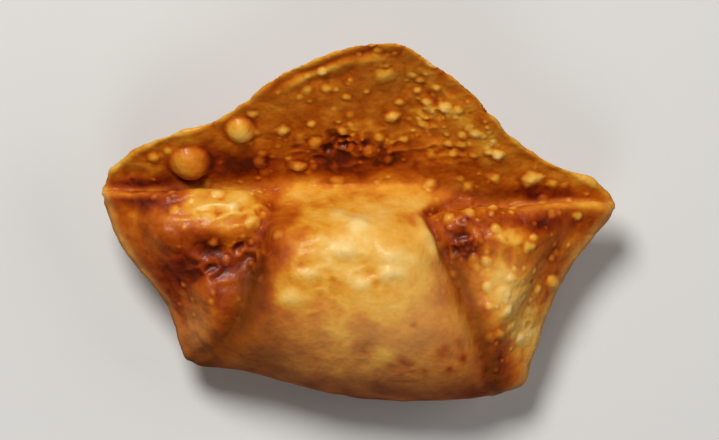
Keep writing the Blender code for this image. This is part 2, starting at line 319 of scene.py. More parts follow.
RAW_TIP_LEFT = (-37.5, 29.7)
RAW_TIP_RIGHT = (37.2, 27.5)
RAW_LEFT = edge(EAR_END_LEFT, RAW_TIP_LEFT, -0.1, wave=0.3, turns=1.0)
RAW_RIGHT = edge(RAW_TIP_RIGHT, EAR_END_RIGHT, 0.7, wave=0.3, turns=1.5)


def shifted(line, out):
    """The chain moved this far to the right of its run."""
    run = np.gradient(line, axis=0)
    return line + out * np.column_stack((run[:, 1], -run[:, 0])) / np.hypot(*run.T)[:, None]


def ear_faces(crease, inner, raw, loop, slump, relief):
    """The upper and the under side of one ear, as functions of the plan.

    slump is how much further in from its inner edge the ear reaches its full thickness.
    """

    def sides(x, y):
        from_crease = distance_to(crease, x, y)
        from_inner = distance_to(inner, x, y)
        from_raw = distance_to(raw, x, y)
        rim = distance_to(loop, x, y)
        low = sheet(x, y) - 0.3 * FOLD
        on_crease = 1.0 - smooth((from_crease - 0.6) / 5.5)
        lift = BEAK * smooth(from_crease / 10.0) * smooth(from_inner / 5.0)
        lift = lift * (1.0 - smooth((from_raw - 1.0) / 8.0))
        rest = under_ears(x, y) + 0.5 * WRAPPER
        upper = rest + EAR + lift + relief(x, y)
        upper += on_crease * (sheet(x, y) + 0.7 * FOLD - upper)
        under = rest - 0.9
        under += on_crease * (low - under)
        free = (1.0 - smooth((from_raw - 3.5) / 4.0)) * smooth((from_crease - 2.5) / 5.0)
        free = free * smooth((from_inner - 0.5) / 4.0)
        under += free * (upper - EAR - under)
        middle = 0.5 * (upper + under)
        radius = 1.05 + 1.9 * on_crease + slump * (1.0 - smooth((from_inner - 1.0) / 4.0))
        share = rounded(rim, radius)
        return middle + share * (upper - middle), middle + share * (under - middle)

    return (lambda x, y: sides(x, y)[0]), (lambda x, y: sides(x, y)[1])


def left_relief(x, y):
    """A puffed ridge behind the raw edge, a blistered hollow by the dome and a fold below."""
    ridge = 0.5 * bump(x, y, (-20.0, 27.2), 7.0, 2.6)
    hollow = 1.4 * bump(x, y, (-19.4, 19.6), 6.0, 2.9)
    fold = 0.6 * bump(x, y, (-22.5, 12.5), 2.4, 5.0)
    return ridge - hollow + fold


def right_relief(x, y):
    """A blistered ridge behind the raw edge, and a puffed middle."""
    ridge = 0.6 * bump(x, y, (17.0, 26.2), 6.0, 2.0)
    puff = 0.7 * bump(x, y, (21.8, 14.5), 4.0, 5.5)
    return ridge + puff


LEFT_EDGES = (shifted(CREASE_LEFT, FOLD_PROUD), INNER_LEFT, RAW_LEFT)
RIGHT_EDGES = (
    shifted(CREASE_RIGHT, FOLD_PROUD),
    RAW_RIGHT,
    INNER_RIGHT[::-1],
    edge(EAR_FOOT_RIGHT, CORNER_RIGHT, 0.0, count=8),
)
EARS = (
    ("left_ear", LEFT_EDGES, CREASE_LEFT, INNER_LEFT, RAW_LEFT, 2.4, left_relief),
    ("right_ear", RIGHT_EDGES, CREASE_RIGHT, INNER_RIGHT, RAW_RIGHT, 0.9, right_relief),
)
ears = []
for ear_name, edges, crease, inner, raw, slump, relief in EARS:
    plan = closed_outline(edges, 0.5 * OUTLINE_STEP, 12)
    upper, under = ear_faces(crease, inner, raw, np.vstack((plan, plan[:1])), slump, relief)
    ears.append(pillow(ear_name, plan, upper, under))


# The fried surface: in the oil the ears weld to the body, and steam lifts the dough into
# bubbles and blisters. A few are large and most are the size of a pinhead. The body and the
# ears become one skin here, and all that relief is real shape in it.

VOXEL = 0.29

bpy.ops.object.select_all(action="DESELECT")
for piece in (rangoon, *ears):
    piece.select_set(True)
bpy.context.view_layer.objects.active = rangoon
bpy.ops.object.join()
weld = rangoon.modifiers.new("weld", "REMESH")
weld.mode = "VOXEL"
weld.voxel_size = VOXEL
bpy.ops.object.modifier_apply(modifier=weld.name)

skin = rangoon.data
total = len(skin.vertices)
places = np.empty(3 * total)
skin.vertices.foreach_get("co", places)
places = places.reshape(-1, 3)
pairs = np.empty(2 * len(skin.edges), np.int64)
skin.edges.foreach_get("vertices", pairs)
pairs = pairs.reshape(-1, 2)
neighbours = np.bincount(pairs.ravel(), minlength=total)


def normals():
    """Each point's direction out of the dough, as the mesh has it now."""
    skin.vertices.foreach_set("co", places.ravel())
    skin.update()
    out = np.empty(3 * total)
    skin.vertex_normals.foreach_get("vector", out)
    return out.reshape(-1, 3)


def spread(values, passes):
    """The values averaged with their neighbours' along the mesh, this many times."""
    values = values.reshape(total, -1).astype(float)
    for _ in range(passes):
        fresh = np.empty_like(values)
        for column in range(values.shape[1]):
            own = values[:, column]
            got = np.bincount(pairs[:, 0], own[pairs[:, 1]], total)
            got += np.bincount(pairs[:, 1], own[pairs[:, 0]], total)
            fresh[:, column] = got / neighbours
        values = 0.5 * values + 0.5 * fresh
    return values.squeeze()


ASKEW = np.array(Euler((0.5, 0.7, 0.6)).to_matrix())


def mottle(spots, size, seed):
    """Smooth random values from -1 to 1, in lumps of about this size."""
    lattice = np.random.default_rng(seed).uniform(-1.0, 1.0, (32, 32, 32))
    turned = spots @ ASKEW / size
    cell = np.floor(turned).astype(int)
    t = smooth(turned - cell)
    value = np.zeros(len(spots))
    for corner in np.ndindex(2, 2, 2):
        share = np.prod(np.where(corner, t, 1.0 - t), axis=1)
        i, j, k = ((cell + corner) % 32).T
        value += share * lattice[i, j, k]
    return value


def patches(table):
    """Soft round patches added up: x, y, across, along and amount."""
    return sum(
        amount * bump(plan_x, plan_y, (x, y), across, along)
        for x, y, across, along, amount in table
    )


# Where the ears meet the dome, the dough has slumped into a soft valley, less so low down on
# the left, where the ear's edge still shows as a fold.
SLUMP = 0.9
SLUMP_WIDTH_LEFT = 2.4
SLUMP_WIDTH_RIGHT = 1.8
SLUMP_TOP_RIGHT = 16.0
places = spread(places, 5)
joint = np.exp(-((distance_to(INNER_LEFT, places[:, 0], places[:, 1]) / SLUMP_WIDTH_LEFT) ** 2))
joint *= 0.35 + 0.65 * smooth((places[:, 1] - 10.0) / 6.0)
low_right = INNER_RIGHT[INNER_RIGHT[:, 1] < SLUMP_TOP_RIGHT]
from_low_right = distance_to(low_right, places[:, 0], places[:, 1])
joint += 0.8 * np.exp(-((from_low_right / SLUMP_WIDTH_RIGHT) ** 2))
joint = np.clip(joint, 0.0, 1.0) * smooth((normals()[:, 2] + 0.2) / 0.5)
places += SLUMP * joint[:, None] * (spread(places, 70) - places)
plan_x, plan_y, height = places.copy().T
facing = normals()
from_ears = between_ears(plan_x, plan_y)
from_rim = distance_to(BODY_LOOP, plan_x, plan_y)
from_left_ear = distance_to(INNER_LEFT, plan_x, plan_y)
from_right_ear = distance_to(INNER_RIGHT, plan_x, plan_y)
raw_edges = distance_to(RAW_LEFT, plan_x, plan_y)
raw_edges = np.minimum(raw_edges, distance_to(RAW_RIGHT, plan_x, plan_y))
on_front = smooth((facing[:, 2] + 0.35) / 0.5)

# The line across the piece where the flap rises from behind the ears and the dome.
FLAP_FOOT = (
    (-37.5, 29.9),
    (-27.0, 29.9),
    (-20.0, 30.2),
    (-10.0, 30.0),
    (8.0, 30.5),
    (14.0, 29.7),
    (20.0, 28.0),
    (38.0, 27.6),
)
above_foot = plan_y - np.interp(plan_x, *np.transpose(FLAP_FOOT))
on_flap = smooth((above_foot + 0.3) / 2.0)
on_dome = smooth(from_ears / 2.0) * (1.0 - on_flap) * on_front
on_ears = (1.0 - on_flap) * (1.0 - smooth(from_ears / 0.8)) * on_front
on_tips = smooth((np.abs(plan_x) - 20.0) / 7.0)

# Where the dough has bubbled most: x, y, across, along and how much.
BUBBLED = (
    (-2.0, 36.0, 7.0, 2.6, 0.9),
    (9.5, 41.5, 4.5, 3.6, 0.5),
    (16.0, 36.0, 6.0, 2.6, 0.28),
    (-18.5, 19.5, 5.0, 2.4, 0.4),
    (15.0, 22.5, 3.0, 3.4, 0.8),
    (15.0, 26.6, 5.0, 1.2, 1.0),
    (20.5, 17.5, 4.0, 4.5, 0.25),
)
bubbled = np.clip(patches(BUBBLED), 0.0, 1.0) * (1.0 - on_dome) * on_front

# Soft lumps all over.
thin_dough = np.maximum(on_flap, on_ears)
lumps = (0.14 + 0.16 * thin_dough) * mottle(places, 6.5, 1)
lumps += (0.07 + 0.05 * thin_dough) * mottle(places, 2.9, 2)
lumps += 0.05 * mottle(places, 1.3, 4)

# Where the skin has wrinkled: x, y, across, along, how tall and how far apart the wrinkles
# are, and how much longer they run across and along the piece than they are wide.
WRINKLES = (
    (-1.5, 20.0, 8.5, 6.5, 0.13, 2.8, 1.4, 1.0),
    (-1.5, 18.0, 9.5, 8.0, 0.10, 1.5, 1.3, 1.0),
    (6.0, 4.0, 12.0, 4.0, 0.05, 1.6, 1.3, 1.0),
    (-20.0, 27.0, 7.0, 2.2, 0.36, 1.5, 2.2, 1.0),
    (-19.5, 19.6, 6.5, 2.8, 0.46, 1.9, 1.8, 1.0),
    (-23.0, 10.5, 2.5, 5.0, 0.22, 2.0, 1.0, 1.8),
    (21.2, 16.5, 4.4, 6.5, 0.15, 1.7, 1.0, 1.8),
    (21.0, 23.0, 3.0, 1.8, 0.26, 1.6, 1.6, 1.0),
    (15.2, 22.8, 3.2, 3.6, 0.18, 2.2, 1.0, 1.3),
    (-2.0, 36.0, 7.0, 2.8, 0.34, 1.3, 1.2, 1.0),
    (8.0, 35.0, 9.0, 2.4, 0.18, 1.4, 2.0, 1.0),
    (10.0, 42.0, 5.0, 4.5, 0.20, 1.6, 1.0, 1.0),
    (-31.0, 32.6, 6.0, 1.8, 0.24, 1.8, 2.0, 1.0),
)
DEEP_WRINKLE = 0.3
wrinkles = np.zeros(total)
for seed, (x, y, across, along, tall, apart, long_x, long_y) in enumerate(WRINKLES, start=30):
    fold = 1.0 - 2.6 * np.abs(mottle(places / (long_x, long_y, 1.0), apart, seed))
    zone = bump(plan_x, plan_y, (x, y), across, along) * on_front
    lumps += tall * zone * fold
    wrinkles += tall / DEEP_WRINKLE * zone * fold


def ridge_line(distance, offset, width):
    """How much of a thin line that runs this far in from an edge covers each point."""
    return np.exp(-(((distance - offset) / width) ** 2))


# The raw edges: a thin raised lip at each wing tip, and two layers left of the flap's apex,
# where the wrapper's halves don't quite meet. The rim has rippled in the oil.
LAYER_GROOVE = (1.5, 0.45)
SECOND_LAYER = (2.3, 0.6)
layer_gap = from_rim + 0.45 * mottle(places, 4.5, 11)
two_layers = smooth((plan_x + 15.0) / 7.0) * (1.0 - smooth((plan_x - 2.0) / 5.0))
two_layers *= on_flap * on_front
lumps += 0.50 * ridge_line(raw_edges, 0.3, 0.6) * on_ears * on_tips
lumps -= 0.20 * ridge_line(raw_edges, 2.4, 1.1) * on_ears * on_tips
lumps += 0.12 * ridge_line(from_rim, 0.4, 0.6) * on_flap * on_front
lumps += 0.30 * ridge_line(from_rim, 0.0, 1.0) * mottle(places, 2.3, 13) * on_flap
lumps -= 0.24 * ridge_line(layer_gap, *LAYER_GROOVE) * two_layers
lumps += 0.20 * ridge_line(layer_gap, *SECOND_LAYER) * two_layers

# The lip that the dome's skin makes beside the top of the right ear, and the dome's puffs:
# x, y, across, along and how tall.
DOME_PUFFS = (
    (-3.2, 26.0, 1.3, 0.9, 0.40),
    (-0.1, 24.9, 1.5, 1.0, 0.55),
    (-2.0, 21.3, 1.6, 1.0, 0.50),
    (-5.6, 22.8, 1.2, 0.9, 0.32),
    (-8.0, 17.8, 2.0, 0.8, 0.36),
    (-9.6, 14.3, 2.0, 1.1, 0.40),
    (-3.4, 18.4, 1.3, 0.8, 0.24),
    (0.4, 16.2, 1.3, 1.0, 0.34),
    (4.4, 17.8, 1.8, 1.2, 0.40),
    (4.6, 20.4, 1.5, 0.9, 0.30),
    (8.0, 19.6, 1.3, 1.0, 0.22),
)
lip = ridge_line(from_ears, 1.3, 0.6) * bump(plan_x, plan_y, (10.2, 23.2), 3.0, 3.4) * on_front
puffs = patches(DOME_PUFFS) * on_dome
lumps += 0.9 * lip + puffs

# Fine bubbling, like cobbles a millimetre or two across.
COBBLES = 9000
COBBLE_RADIUS = 1.1
COBBLE_HEIGHT = 0.22
cobble_seeds = np.random.default_rng(12)
cobble_tree = KDTree(COBBLES)
box_low = places.min(axis=0)
box_high = places.max(axis=0)
for index, spot in enumerate(cobble_seeds.uniform(box_low, box_high, (COBBLES, 3))):
    cobble_tree.insert(spot, index)
cobble_tree.balance()
cobble = np.array([1.0 - (cobble_tree.find(spot)[2] / COBBLE_RADIUS) ** 2 for spot in places])
cobbled = np.maximum(0.12 + 0.20 * thin_dough * on_front, 0.8 * bubbled)
lumps += COBBLE_HEIGHT * cobbled * cobble
places = places + facing * lumps[:, None]

# The blisters that show in the photo: x, y, diameter, height, and how pale the top has
# stayed, from 0 to 1. A height under 0 is one that has burst into a pit with a raised ring.
FLAP_BLISTERS = (
    (-24.4, 33.7, 6.2, 2.2, 0.35),
    (-17.3, 38.6, 4.6, 1.9, 0.7),
    (-9.0, 33.5, 2.6, 0.8, 0.8),
    (-14.5, 34.0, 2.4, 0.35, 0.4),
    (-10.9, 38.4, 2.4, 0.6, 0.4),
    (-7.0, 39.3, 1.6, 0.4, 0.2),
    (-5.5, 46.6, 1.8, 0.5, 0.5),
    (-7.5, 44.2, 2.0, 0.3, 0.3),
    (-2.3, 38.2, 1.8, 0.6, 0.4),
    (3.5, 46.0, 3.2, 0.4, 0.1),
    (2.4, 49.6, 2.0, 0.4, 0.2),
    (4.8, 40.4, 2.6, 0.8, 0.6),
    (3.1, 37.3, 1.9, 0.4, 0.0),
    (12.2, 41.4, 2.4, 0.7, 0.9),
    (9.6, 42.3, 1.8, 0.4, 0.5),
    (8.4, 44.2, 1.6, 0.4, 0.3),
    (14.2, 41.2, 1.6, 0.4, 0.3),
    (16.8, 37.8, 2.0, 0.5, 0.9),
    (1.3, 35.4, 2.4, 0.5, 0.1),
    (-1.8, 36.5, 2.4, -0.6, 0.0),
    (-4.6, 35.8, 2.0, -0.5, 0.0),
    (-3.7, 33.2, 2.0, 0.4, 0.0),
    (10.4, 30.6, 2.2, 0.7, 0.5),
    (10.4, 35.1, 1.7, 0.3, 0.1),
    (13.6, 35.2, 1.7, 0.3, 0.2),
    (10.3, 48.0, 2.0, 0.4, 0.6),
    (24.8, 31.3, 3.0, 0.8, 1.0),
    (20.0, 34.8, 2.4, 0.7, 0.9),
    (28.0, 30.8, 1.8, 0.35, 0.3),
)
EAR_BLISTERS = (
    (-26.6, 27.2, 2.2, 0.3, 0.1),
    (-21.5, 26.4, 3.0, 0.5, 0.0),
    (-18.2, 27.4, 2.4, 0.4, 0.1),
    (-15.4, 25.4, 3.0, 0.6, 0.3),
    (-20.9, 22.2, 2.2, 0.6, 0.4),
    (-17.4, 21.6, 2.4, -0.7, 0.0),
    (-21.6, 18.6, 2.4, -0.6, 0.0),
    (-15.1, 18.6, 2.0, 0.5, 0.0),
    (-11.8, 23.5, 2.0, 0.4, 0.2),
    (19.2, 27.3, 2.0, 0.5, 0.7),
    (15.7, 26.7, 2.2, 0.5, 0.5),
    (12.9, 25.8, 2.2, 0.6, 0.5),
    (22.2, 27.6, 1.6, 0.3, 0.3),
    (19.6, 24.3, 2.0, 0.7, 0.6),
    (13.9, 21.2, 2.2, -0.6, 0.0),
    (16.3, 20.2, 1.9, 0.6, 0.5),
    (17.0, 23.0, 1.7, 0.3, 0.0),
    (18.4, 15.7, 1.7, 0.4, 0.2),
    (18.6, 12.9, 1.7, 0.4, 0.2),
    (21.8, 16.9, 1.7, 0.3, 0.2),
    (24.2, 21.6, 2.0, 0.4, 0.4),
    (21.5, 12.4, 2.0, 0.4, 0.6),
    (28.0, 16.4, 2.8, 0.7, 0.6),
    (23.2, 8.4, 1.8, 0.4, 0.8),
    (31.6, 26.0, 1.9, 0.4, 1.0),
)
facing = normals()
tree = KDTree(total)
for index, spot in enumerate(places):
    tree.insert(spot, index)
tree.balance()
uneven = 1.0 + 0.30 * mottle(places, 1.2, 8) + 0.20 * mottle(places, 0.7, 9)
raised = np.zeros(total)
push = np.zeros((total, 3))
blister_tops = np.zeros(total)
blister_feet = np.zeros(total)
pale_tops = np.zeros(total)
burst = np.zeros(total)


def blow(centre, radius, tall, pale, drawn=(0.0, 0.0, 0.0)):
    """Raises one blister round a point of the skin, or with a height under 0 a burst one.

    drawn is the direction that the blister is drawn out in, with a length from 0 to under 1.
    """
    large = smooth((radius - 1.6) / 0.5)
    softness = 1.7 - 0.8 * large
    drawn = np.array(drawn)
    longest = 1.5 * radius / math.sqrt(1.0 - drawn @ drawn)
    for spot, near, gap in tree.find_range(places[centre], longest):
        if facing[near] @ facing[centre] < 0.2:
            continue
        along = (np.array(spot) - places[centre]) @ drawn
        gap = math.sqrt(max(gap**2 - along**2, 0.0))
        reach = gap / radius * (uneven[near] + large * (1.0 - uneven[near]))
        if reach < 1.0:
            pale_tops[near] = max(pale_tops[near], pale * (1.0 - reach**2))
        if tall < 0.0:
            reach *= uneven[near]
            ring = uneven[near] ** 2 * math.exp(-(((reach - 0.8) / 0.28) ** 2))
            pit = math.exp(-((reach / 0.5) ** 2))
            out = abs(tall) * (0.5 * ring - 0.45 * pit)
            burst[near] = max(burst[near], pit)
        else:
            out = tall * max(1.0 - reach**2, 0.0) ** softness
            blister_tops[near] = max(blister_tops[near], 1.0 - reach**2)
            foot = math.exp(-(((reach - 1.05) / 0.16) ** 2))
            blister_feet[near] = max(blister_feet[near], foot)
        if abs(out) > abs(raised[near]):
            raised[near] = out
            push[near] = out * (facing[near] + facing[centre]) / 2.0


for x, y, diameter, tall, pale in FLAP_BLISTERS + EAR_BLISTERS:
    gaps = np.hypot(places[:, 0] - x, places[:, 1] - y) - 0.2 * height * on_front
    blow(int(np.argmin(gaps + 9.0 * (facing[:, 2] < 0.2))), 0.5 * diameter, tall, pale)

# The rest of the blisters, 0.8 to 2.2 mm across and scattered at random. Of those over about
# 1 mm, one in nine has burst.
SMALL_BLISTERS = 640
SMALLEST_ACROSS = 0.8
EXTRA_ACROSS = 1.4
BURST_SHARE = 1.0 / 9.0
LEAST_BURST_RADIUS = 0.55
crowding = 0.14 * thin_dough * on_front + 0.30 * (1.0 - on_front) + 0.7 * bubbled
crowding *= (0.5 + 0.5 * mottle(places, 6.0, 5)) * smooth((height - 0.5) / 1.5)
crowding *= 1.0 - 0.8 * bump(plan_x, plan_y, (1.0, 44.0), 4.5, 3.6)
crowding *= 1.0 - 0.9 * bump(plan_x, plan_y, (-31.0, 24.0), 6.0, 8.0)
crowding *= 1.0 - 0.7 * bump(plan_x, plan_y, (-22.0, 10.0), 6.0, 5.0)
crowding *= 1.0 - on_front * bump(plan_x, plan_y, (-24.3, 33.7), 4.0, 3.6)
crowding *= 1.0 - on_front * bump(plan_x, plan_y, (-17.3, 38.6), 3.4, 3.2)
crowding *= smooth((from_rim - 0.8) / 1.5)
draw = np.random.default_rng(7)
centres = np.full((SMALL_BLISTERS, 3), 1e3)
reaches = np.zeros(SMALL_BLISTERS)
made = 0
for index in draw.permutation(total):
    chance, width, fate, share, pale = draw.random(5)
    if made == SMALL_BLISTERS or chance > 0.10 * crowding[index]:
        continue
    radius = 0.5 * (SMALLEST_ACROSS + EXTRA_ACROSS * width**3)
    gaps = np.linalg.norm(centres - places[index], axis=1)
    if (gaps < 0.7 * (reaches + radius)).any():
        continue
    centres[made] = places[index]
    reaches[made] = radius
    made += 1
    tall = radius * (0.18 + 0.4 * share)
    if fate < BURST_SHARE and radius > LEAST_BURST_RADIUS:
        tall = -tall
    blow(index, radius, tall, 0.35 * pale**2, draw.uniform(-0.5, 0.5, 3))
places = places + spread(push, 1)

# The piece stays in the space of the solid it stands for, and lies on its flat spot.
MM = 0.001
node_low = np.array(node_low) / MM
node_high = np.array(node_high) / MM
shift = 0.5 * (node_low + node_high - places.min(axis=0) - places.max(axis=0))
shift[2] = 0.0
settled = np.clip(places + shift, node_low, node_high)


# The browning: dough dries and darkens where it is thin. The flap, the wing tips and the
# ears are orange to dark red brown, the dome over the moist filling stays cream and gold, and
# the rims of blisters are darkest. The same colour carries painted light: painted shade in the
# creases between folds, in the valleys beside the dome and on the dome's lower part, and
# painted highlights on the dome's middle and puffs, the wrinkles' ridges, the left ear's ridge
# and the raw edges.

# How brown each part is, from 0 for pale dough to 1 for burnt.
FLAP_TOAST = 0.52
EAR_TOAST = 0.60
DOME_TOAST = 0.44
BACK_TOAST = 0.52

# Patches of each part: x, y, across, along, and how much browner than the rest of it. Some
# stand for painted shade or painted highlights, as marked.
FLAP_BROWNING_AND_SHADE = (
    (-2.0, 36.0, 7.0, 2.6, 0.30),
    (0.0, 33.1, 16.0, 2.1, 0.30),
    (-19.0, 33.4, 7.0, 3.0, 0.32),
    (1.0, 43.6, 4.5, 3.6, 0.04),
    (-10.0, 42.0, 4.0, 4.0, 0.04),
    (12.0, 41.0, 5.0, 4.0, -0.03),
    (18.0, 36.5, 6.0, 3.0, -0.06),
    # Painted shade in the pockets behind the wing tips' raw edges.
    (-30.0, 30.9, 7.0, 1.0, 0.42),
    (24.0, 29.2, 10.0, 1.5, 0.38),
    (30.0, 31.2, 4.0, 1.2, -0.12),
)
EAR_BROWNING_AND_HIGHLIGHT = (
    (-20.0, 19.2, 7.5, 2.9, 0.44),
    # Paler on the left ear's puffed ridge: partly its own paler dough, partly a painted highlight.
    (-20.0, 27.4, 5.8, 1.5, -0.36),
    (-19.0, 24.8, 4.5, 1.0, -0.12),
    (-24.5, 23.5, 4.0, 1.2, 0.14),
    # Painted highlight on the slope behind the left ear's raw edge, which faces the key light.
    (-17.0, 29.6, 5.0, 1.2, -0.24),
    (-26.4, 29.8, 2.6, 1.0, 0.34),
    (-30.2, 28.2, 3.8, 1.3, 0.34),
    (-34.0, 28.3, 1.2, 0.7, 0.22),
    (-31.0, 21.5, 3.0, 4.0, 0.05),
    (-13.0, 25.0, 2.0, 4.0, 0.24),
    (-22.4, 10.3, 1.6, 3.0, -0.12),
    (-27.0, 16.0, 4.0, 6.0, 0.18),
    (-20.0, 13.0, 5.0, 4.0, 0.12),
    (-22.0, 6.0, 5.0, 4.0, 0.18),
    (25.4, 12.0, 1.4, 4.5, -0.18),
    (15.0, 22.6, 3.4, 3.8, 0.34),
    (20.2, 16.4, 3.4, 3.6, -0.36),
    (21.8, 12.2, 2.2, 3.4, -0.32),
    (23.7, 8.0, 1.6, 3.0, -0.34),
    (21.4, 23.2, 2.8, 1.3, -0.28),
    (26.0, 24.9, 5.0, 1.6, 0.32),
    (28.5, 20.5, 3.5, 4.0, 0.08),
    (19.6, 5.0, 2.6, 4.5, 0.32),
)
DOME_BROWNING_AND_PAINTED_LIGHT = (
    # Painted highlight: the dome's lit middle is paler.
    (0.5, 20.0, 8.5, 6.5, -0.26),
    # Painted shade on the dome's left flank beside the ear.
    (-14.0, 17.0, 2.4, 7.0, 0.34),
    (-11.0, 20.2, 2.2, 2.4, 0.28),
    (-10.2, 26.2, 2.0, 1.7, 0.42),
    # Painted shade on the dome's lower part, which faces away from the key light: its lower left
    # flank, its low middle and its foot.
    (-17.0, 8.5, 4.5, 6.0, 0.24),
    (-10.0, 8.0, 5.0, 5.0, 0.10),
    (3.0, 8.5, 10.0, 3.0, 0.12),
    (0.0, 0.0, 26.0, 3.2, 0.36),
    (-1.0, 29.4, 12.0, 2.4, -0.06),
    (8.2, 27.4, 2.2, 1.2, -0.14),
    # Painted shade in the valley beside the right ear.
    (11.5, 17.0, 2.4, 7.0, 0.12),
    (15.0, 6.0, 3.0, 6.0, 0.14),
)
DOME_SPECKS = (
    (0.4, 7.0, 1.7, 1.1, 0.28),
    (5.8, 4.8, 1.6, 1.3, 0.22),
    (11.9, 6.5, 1.2, 1.0, 0.28),
    (15.1, 5.8, 0.8, 1.0, 0.26),
    (13.2, 3.9, 0.9, 0.6, 0.32),
    (14.2, 7.9, 0.5, 0.5, 0.32),
    (7.8, 10.4, 0.6, 0.5, 0.20),
    (-2.6, 7.6, 0.8, 0.6, 0.18),
    (9.4, 3.6, 0.6, 0.5, 0.20),
    (-6.4, 5.6, 0.7, 0.5, 0.16),
)

facing = normals()
hollow = ((spread(places, 24) - places) * facing).sum(axis=1)
fine_hollow = ((spread(places, 5) - places) * facing).sum(axis=1)
crease_depth = np.clip(hollow / 0.35, 0.0, 1.0)
pit_depth = np.clip(fine_hollow / 0.07, -1.0, 1.0)

specks = 0.75 * patches(DOME_SPECKS) * (1.0 + 0.9 * mottle(places, 0.9, 25))
ear_toast_and_highlight = EAR_TOAST + patches(EAR_BROWNING_AND_HIGHLIGHT)
flap_toast_and_shade = FLAP_TOAST + patches(FLAP_BROWNING_AND_SHADE)
dome_toast_and_painted_light = DOME_TOAST + patches(DOME_BROWNING_AND_PAINTED_LIGHT) + specks + 0.14 * mottle(places, 3.0, 26)
foot_fade = 1.2 + 1.3 * (1.0 - on_tips)
flap_share = smooth((above_foot + 0.6 * mottle(places, 3.0, 20)) / foot_fade)
toast_and_painted_light = ear_toast_and_highlight + flap_share * (flap_toast_and_shade - ear_toast_and_highlight)
dome_edge = from_ears + 0.9 * mottle(places, 2.6, 24)
dome_share = smooth(dome_edge / (2.5 + 2.0 * smooth((2.0 - plan_x) / 8.0)))
toast_and_painted_light += dome_share * (1.0 - flap_share) * (dome_toast_and_painted_light - toast_and_painted_light)
back_toast = BACK_TOAST + 0.08 * mottle(places, 9.0, 28) + 0.06 * on_flap
toward_front = smooth((facing[:, 2] + 0.6 + 0.3 * mottle(places, 3.5, 27)) / 0.8)
toast_and_painted_light = back_toast + toward_front * (toast_and_painted_light - back_toast)
toast_and_painted_light += 0.06 * mottle(places, 5.0, 21) + 0.10 * mottle(places, 2.2, 22)
# The puffs are paler: partly their own paler dough, partly a painted highlight on their tops.
toast_and_painted_light += 0.07 * mottle(places, 1.1, 23) - 0.18 * lip - 0.60 * puffs
# Painted shade: darker in the creases and the small hollows, by how hollow the skin is there. Burst
# pits are browner.
toast_and_painted_light += 0.12 * crease_depth + 0.07 * pit_depth + 0.06 * burst
# Painted shade in the valley between the left ear and the dome, low down.
onto_dome = np.where(from_ears > 0.0, from_left_ear, -from_left_ear)
ear_valley = ridge_line(onto_dome, 0.5, 2.1) * (1.0 - smooth((plan_y - 16.0) / 6.0))
toast_and_painted_light += 0.08 * ear_valley * on_front
# Painted highlight and shade: the wrinkles' ridges are paler and their troughs darker.
toast_and_painted_light -= 0.11 * np.clip(wrinkles, -1.0, 1.0)
toast_and_painted_light -= 0.12 * np.clip(blister_tops, 0.0, 1.0) * thin_dough + 0.20 * pale_tops
toast_and_painted_light += 0.05 * blister_feet
# Painted highlight: a paler line along the flap's rim.
toast_and_painted_light -= 0.10 * ridge_line(from_rim, 0.3, 0.5) * on_flap
toast_and_painted_light += 0.10 * ridge_line(layer_gap, *LAYER_GROOVE) * two_layers
toast_and_painted_light -= 0.12 * ridge_line(layer_gap, *SECOND_LAYER) * two_layers
# Painted highlight: a paler line along the wing tips' raw edges.
toast_and_painted_light -= 0.12 * ridge_line(raw_edges, 0.3, 0.5) * on_ears * on_tips
ear_rim = (1.0 - smooth(from_rim / 1.2)) * on_ears
ear_rim *= 1.0 - 0.7 * bump(plan_x, plan_y, (-26.0, 7.0), 5.0, 7.0)
toast_and_painted_light -= 0.10 * ear_rim
toast_and_painted_light = np.clip(toast_and_painted_light, 0.0, 1.0)
crumbly = smooth(0.75 + 0.35 * mottle(places, 1.6, 29))
flour_and_shade = 0.4 * bump(plan_x, plan_y, (20.6, 15.8), 3.8, 4.0) * crumbly
flour_and_shade += 0.3 * bump(plan_x, plan_y, (23.6, 9.5), 2.2, 4.5) * crumbly
flour_and_shade += 0.3 * ear_rim + 0.25 * bump(plan_x, plan_y, (-23.6, 9.5), 2.2, 4.0) * on_front
# Painted shade: on the dome's lower part and its right side the pale tint stands for shade, greying
# the colour.
flour_and_shade += 0.40 * dome_share * bump(plan_x, plan_y, (2.0, 8.0), 15.0, 6.5) * on_front
flour_and_shade += 0.3 * dome_share * bump(plan_x, plan_y, (9.0, 17.0), 4.0, 7.0)
flour_and_shade += 0.1 * pale_tops + 0.3 * lip - 0.9 * specks
flour_and_shade = np.clip(flour_and_shade, 0.0, 1.0)

# Painted shade, from 0 to 1: a dark olive tint where the folds beside the dome, its lower left
# flank and its foot lie in shade.
off_dome = np.where(from_ears > 0.0, -from_right_ear, from_right_ear)
right_valley = ridge_line(off_dome, 0.8, 1.3) * (1.0 - smooth((plan_y - 18.0) / 5.0))
painted_shade = (0.85 * ear_valley + 0.75 * right_valley) * on_front
painted_shade += 0.40 * dome_share * bump(plan_x, plan_y, (-15.0, 7.0), 6.0, 5.0) * on_front
painted_shade += 0.12 * bump(plan_x, plan_y, (3.0, 1.0), 18.0, 2.5) * on_front
painted_shade = np.clip(painted_shade, 0.0, 1.0)

